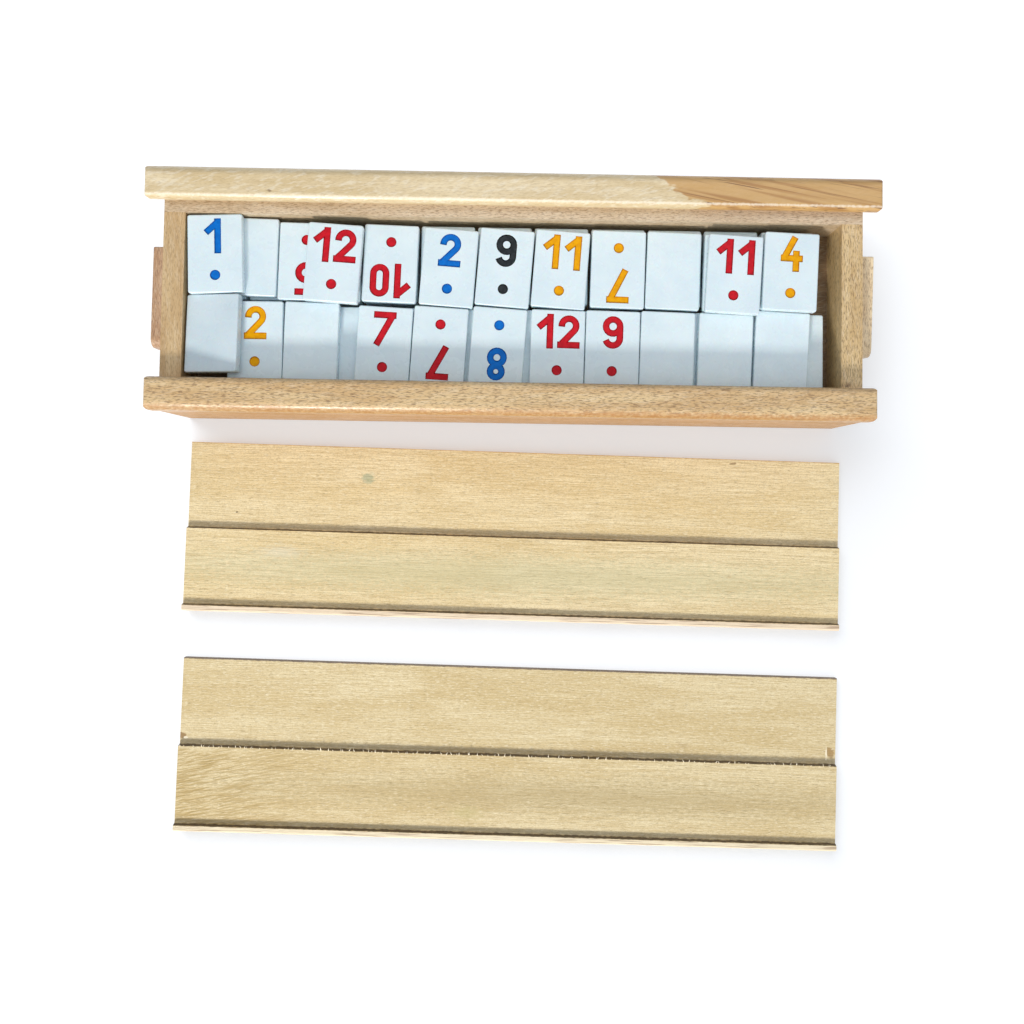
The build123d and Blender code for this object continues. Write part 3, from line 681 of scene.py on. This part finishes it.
for layer in range(1, TOP_COVERED_LAYER + 1):
    node = f"tiles_layer_{layer}"
    low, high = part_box(node)
    front_y, back_y = low.y + TILE_L / 2 * MM, high.y - TILE_L / 2 * MM
    runs = [(FRONT_START, FRONT_PITCH, 0, ROW_TILES, front_y)]
    if layer == TOP_COVERED_LAYER:
        beyond = YELLOW_PLACE + 1
        runs += [(BACK_START, BACK_PITCH, 0, YELLOW_PLACE, back_y),
                 (BACK_START, BACK_PITCH, beyond, ROW_TILES - beyond, back_y)]
    else:
        runs += [(BACK_START, BACK_PITCH, 0, ROW_TILES, back_y)]
    whole = joined([run_of_tiles(f"run_{layer}_{i}", *run, low.z) for i, run in enumerate(runs)],
                   node + "_moulded")
    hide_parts(node)
    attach(whole, "set")
bpy.data.objects.remove(master)

# ---------------------------------------------------------------- torn fibres of the second rack

FIBRES, FIBRE_LENGTH, FIBRE_WIDTH, FIBRE_SEED = 150, 1.5, 0.36, 7
FIBRE_HALF_THICK, FIBRE_TIP_RISE = 0.12, 0.3
# the upper edge of the middle step, in mm: its left end and its place from the rack's middle, its height
STEP_START, STEP_Y, STEP_Z = -165.0, -1.1, 6.0
torn, tree = new_material("torn_pale_wood_fibres")
# fibres torn from pale wood scatter the light: paler than the planed face, and quite dull
raw = add(tree, "ShaderNodeBsdfPrincipled", {"Base Color": srgb("FFF3D8"), "Roughness": 0.8}, "BSDF")
add(tree, "ShaderNodeOutputMaterial", {"Surface": raw})


def sliver():
    """One torn fibre: a flat spike from the origin along +Y."""
    bm = bmesh.new()
    root = [bm.verts.new((x * FIBRE_WIDTH / 2, 0, z * FIBRE_HALF_THICK))
            for x, z in ((-1, -1), (1, -1), (1, 1), (-1, 1))]
    tip = bm.verts.new((0, FIBRE_LENGTH, FIBRE_TIP_RISE))
    bm.faces.new(root)
    for k in range(4):
        bm.faces.new((root[k], root[(k + 1) % 4], tip))
    return finished(bm, "sliver")


def fibre_tree(spike):
    """Geometry Nodes: `Count` slivers along +X from `Start`, each moved, turned and sized by chance."""
    tree, given = node_group("torn_fibres", {
        "Count": "NodeSocketInt", "Start": "NodeSocketVector", "Step": "NodeSocketVector",
        "Seed": "NodeSocketInt", "Wood": "NodeSocketMaterial"})
    line = add(tree, "GeometryNodeMeshLine", {
        "Count": given["Count"], "Start Location": given["Start"], "Offset": given["Step"]}, "Mesh",
        mode="OFFSET")
    ranges = (((-0.002, -0.0003, 0), (0.002, 0.0002, 0)),  # metres along and across the step
              ((-0.1, -0.2, -0.6), (0.2, 0.2, 0.6)),  # turns in radians
              ((0.5, 0.1, 0.6), (1.4, 1.3, 1.2)))  # times the sliver's width, length and thickness
    chance = []
    for i, (least, most) in enumerate(ranges):
        seed = add(tree, "ShaderNodeMath", {0: given["Seed"], 1: i}, 0, operation="ADD")
        chance.append(add(tree, "FunctionNodeRandomValue", {"Min": least, "Max": most, "Seed": seed}, 0,
                          data_type="FLOAT_VECTOR"))
    moved = add(tree, "GeometryNodeSetPosition", {"Geometry": line, "Offset": chance[0]}, "Geometry")
    source = add(tree, "GeometryNodeObjectInfo", {"Object": spike}, "Geometry", transform_space="ORIGINAL")
    placed = add(tree, "GeometryNodeInstanceOnPoints", {
        "Points": moved, "Instance": source, "Rotation": chance[1], "Scale": chance[2]}, "Instances")
    real = add(tree, "GeometryNodeRealizeInstances", {"Geometry": placed}, "Geometry")
    painted = add(tree, "GeometryNodeSetMaterial", {
        "Geometry": real, "Material": given["Wood"]}, "Geometry")
    add(tree, "NodeGroupOutput", {"Geometry": painted})
    return tree


spike = sliver()
fibres = realised("rack_2_torn_fibres", fibre_tree(spike), {
    "Count": FIBRES, "Start": (STEP_START * MM, STEP_Y * MM, STEP_Z * MM),
    "Step": (-2 * STEP_START / FIBRES * MM, 0, 0), "Seed": FIBRE_SEED, "Wood": torn})
bpy.data.objects.remove(spike)
low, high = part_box("rack_2")
middle = (low + high) / 2
turn = Matrix.Rotation(math.radians(RACK_TURNS["rack_2"]), 4, "Z")
fibres.data.transform(Matrix.Translation((middle.x, middle.y, 0)) @ turn)
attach(fibres, "set")

# ---------------------------------------------------------------- floor, light, camera

# in mm: half the floor's side, and how far the floor lies under the set
FLOOR_HALF_SIZE, FLOOR_BELOW = 3000, 0.1
# strength of the room's light, from the front and from the back
ROOM_FRONT, ROOM_BACK = 0.86, 0.36


def seen_rays(tree):
    """1 for the rays that show a surface: straight to the camera, mirrored, or through something clear."""
    ray = add(tree, "ShaderNodeLightPath")
    straight = add(tree, "ShaderNodeMath", {
        0: ray.outputs["Is Camera Ray"], 1: ray.outputs["Is Glossy Ray"]}, 0, operation="MAXIMUM")
    return add(tree, "ShaderNodeMath", {
        0: straight, 1: ray.outputs["Is Transmission Ray"]}, 0, operation="MAXIMUM")


bm = bmesh.new()
bmesh.ops.create_grid(bm, x_segments=1, y_segments=1, size=FLOOR_HALF_SIZE)
floor = finished(bm, "studio_floor")
# matt pale paper that takes the soft shadow; its own glow lifts it to white where it is seen
floor_mat, tree = new_material("white_paper_floor")
paper = add(tree, "ShaderNodeBsdfPrincipled", {"Base Color": srgb("CCCFD3"), "Roughness": 0.9}, "BSDF")
lift = add(tree, "ShaderNodeEmission", {"Color": WHITE, "Strength": 0.42}, "Emission")
lifted = add(tree, "ShaderNodeAddShader", {0: paper, 1: lift}, "Shader")
choice = add(tree, "ShaderNodeMixShader", {0: seen_rays(tree), 1: paper, 2: lifted}, "Shader")
add(tree, "ShaderNodeOutputMaterial", {"Surface": choice})
floor.data.materials.append(floor_mat)
floor.location.z = -FLOOR_BELOW * MM

world = bpy.data.worlds.new("studio")
bpy.context.scene.world = world
world.use_nodes = True
tree = world.node_tree
tree.nodes.clear()
# the room is brighter in front, on the key lamp's side, so that what faces away from it darkens
where = add(tree, "ShaderNodeTexCoord", out="Generated")
split = add(tree, "ShaderNodeSeparateXYZ", {"Vector": where})
room = add(tree, "ShaderNodeMapRange", {
    "Value": split.outputs["Y"], "From Min": -1.0, "To Min": ROOM_FRONT, "To Max": ROOM_BACK}, "Result")
glow = add(tree, "ShaderNodeBackground", {"Color": srgb("F2F6FC"), "Strength": room}, "Background")
white = add(tree, "ShaderNodeBackground", {"Color": WHITE, "Strength": 1.0}, "Background")
either = add(tree, "ShaderNodeMixShader", {0: seen_rays(tree), 1: glow, 2: white}, "Shader")
add(tree, "ShaderNodeOutputWorld", {"Surface": either})

# the point that every lamp faces, in metres
LAMP_AIM = Vector((0, 0.05, 0.02))


def softbox(name, azimuth, elevation, distance, size, power, colour, lit):
    """A square lamp that faces the set from an azimuth (0 from the front) and elevation in degrees.

    Distance and size are in metres, power in watts, and it lights only the collection `lit`.
    """
    lamp = bpy.data.lights.new(name, "AREA")
    lamp.shape, lamp.size, lamp.energy, lamp.color = "SQUARE", size, power, srgb(colour)[:3]
    obj = bpy.data.objects.new(name, lamp)
    a, e = math.radians(azimuth), math.radians(elevation)
    back = Vector((math.sin(a) * math.cos(e), -math.cos(a) * math.cos(e), math.sin(e)))
    obj.location = LAMP_AIM + back * distance
    obj.rotation_euler = back.to_track_quat("Z", "Y").to_euler()
    obj.light_linking.receiver_collection = lit
    bpy.context.scene.collection.objects.link(obj)


pieces_lit, floor_lit = bpy.data.collections.new("pieces_lit"), bpy.data.collections.new("floor_lit")
for obj in bpy.context.scene.objects:
    if obj.type == "MESH":
        (floor_lit if obj is floor else pieces_lit).objects.link(obj)
softbox("key", -17, 32, 1.6, 0.2, 17.3, "FFFAF3", pieces_lit)
softbox("fill", 160, 60, 1.8, 1.2, 4, "F6FAFF", pieces_lit)
softbox("floor_shadow_lamp", -150, 41, 3.0, 3.0, 96, "FFFFFF", floor_lit)

# a perspective camera high above the set, fitted to the corners of the case, the tiles and the racks
lens = bpy.data.cameras.new("camera")
lens.sensor_width, lens.lens = 36.0, 35.0084
lens.shift_x, lens.shift_y = -0.01733, -0.05698
lens.clip_start, lens.clip_end = 0.01, 20
camera = bpy.data.objects.new("camera", lens)
camera.location = (4.487 * MM, 12.62 * MM, 514.38 * MM)
camera.rotation_euler = [math.radians(a) for a in (2.3179, -0.5798, 0.8994)]
bpy.context.scene.collection.objects.link(camera)
bpy.context.scene.camera = camera
bpy.context.scene.view_settings.view_transform = "Standard"
